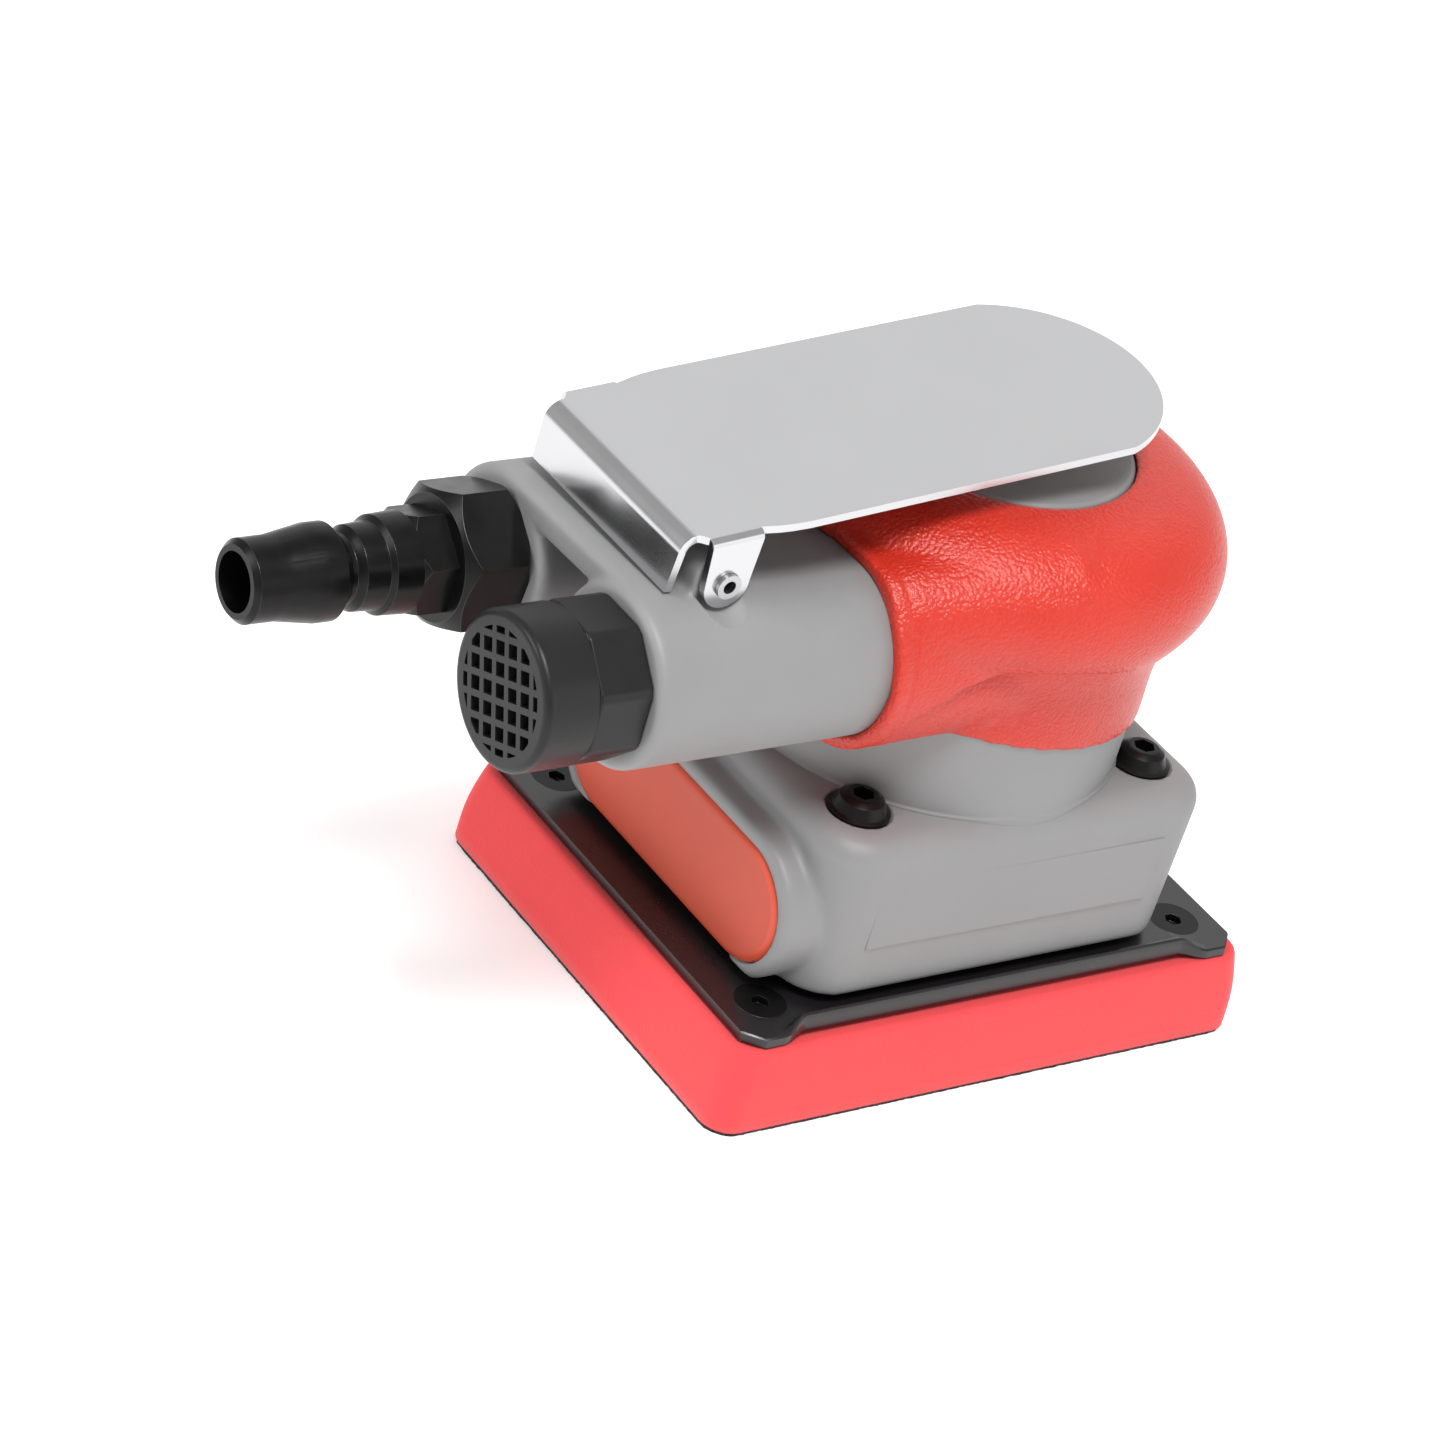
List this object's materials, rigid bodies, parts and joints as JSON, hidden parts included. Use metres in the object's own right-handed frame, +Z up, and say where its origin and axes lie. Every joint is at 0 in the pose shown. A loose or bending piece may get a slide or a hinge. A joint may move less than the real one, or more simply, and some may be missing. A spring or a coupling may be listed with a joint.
{
  "type": "orbital sander",
  "caption": "Air-driven palm sander with a rectangular foam pad, soft grip head, twin-barrel handle with hose plug and muffler, and a sheet lever over the top.",
  "frame": {"origin": "centre of the sanding face, on the underside of the hook layer", "axes": "+Z up through the motor shaft, -X along the handle to the hose plug, +Y on the hose plug's side"},
  "size_m": [0.1648, 0.0784, 0.1015],
  "materials": {
    "steel": "machined bright steel",
    "bearing_steel": "ground and polished bearing steel",
    "black_oxide": "black oxide, slightly oiled",
    "lever_plate": "nickel-plated pressed sheet, soft satin mirror",
    "housing_paint": "cast, with a mid grey fine-texture coat",
    "grip_rubber": "red overmoulded rubber, fine leather grain",
    "cover_rubber": "dull red soft moulding",
    "foam": "closed-cell polyurethane foam, matte pinkish red",
    "hook": "dark woven hook fastener",
    "backer": "glass-filled board",
    "plate_paint": "semi-gloss black coat on pressed steel",
    "black_plastic": "moulded matte dark plastic",
    "felt": "grey silencing felt",
    "black_rubber": "nitrile rubber",
    "brass": "turned brass",
    "vane": "laminated phenolic",
    "strainer_mesh": "sintered steel strainer",
    "spring_wire": "music wire",
    "top_grey": "grey coat, light machined rim"
  },
  "bodies": {
    "housing": {"housing": "housing_paint", "top_cap": "top_grey", "soft_grip": "grip_rubber", "side_cover": "cover_rubber", "inlet_bushing": "black_oxide", "quick_plug": "black_oxide", "inlet_seal": "black_rubber", "inlet_strainer": "strainer_mesh", "muffler_body": "black_plastic", "muffler_cap": "black_plastic", "muffler_felt": "felt", "valve_guide": "brass", "valve_seat": "brass", "valve_spring": "spring_wire", "motor_cylinder": "steel", "upper_end_plate": "steel", "lower_end_plate": "steel", "upper_bearing_outer": "bearing_steel", "lower_bearing_outer": "bearing_steel", "block_screws": "black_oxide", "flex_posts": "black_rubber", "lever_pin": "steel"},
    "crank": {"crankshaft": "steel", "rotor": "steel", "rotor_vanes": "vane", "rotor_key": "steel", "crank_bearing_inner": "bearing_steel", "crank_bearing_balls": "bearing_steel", "upper_bearing_inner": "bearing_steel", "upper_bearing_balls": "bearing_steel", "lower_bearing_inner": "bearing_steel", "lower_bearing_balls": "bearing_steel", "pad_washer": "steel", "pad_bolt": "black_oxide"},
    "pad": {"pad_hub": "steel", "bearing_clip": "black_oxide", "crank_bearing_outer": "bearing_steel", "hub_rivets": "steel", "pad_plate": "plate_paint", "plate_screws": "black_oxide", "post_screws": "black_oxide", "pad_backer": "backer", "foam_pad": "foam", "hook_layer": "hook"},
    "lever": {"throttle_lever": "lever_plate"},
    "valve": {"valve_stem": "brass", "valve_seal": "black_rubber"}
  },
  "joints": [
    {"name": "motor_spin", "type": "hinge", "parent": "housing", "child": "crank", "pos_m": [0, 0, 0.07], "axis": [0, 0, 1], "continuous": true},
    {"name": "pad_orbit", "type": "hinge", "parent": "crank", "child": "pad", "pos_m": [0.0012, 0, 0.028], "axis": [0, 0, 1], "continuous": true},
    {"name": "lever_press", "type": "hinge", "parent": "housing", "child": "lever", "pos_m": [-0.0608, 0, 0.0853], "axis": [0, 1, 0], "range_deg": [0, 5], "stiffness_Nm_per_rad": 0.6, "springref_deg": -5.73},
    {"name": "valve_slide", "type": "slide", "parent": "housing", "child": "valve", "axis": [0, 0, -1], "range_m": [0, 0.0018], "deforming": ["valve_spring"]}
  ],
  "couplings": [
    {"joint": "pad_orbit", "follows": "motor_spin", "ratio": -1},
    {"joint": "valve_slide", "follows": "lever_press", "m_per_rad": 0.01925}
  ]
}
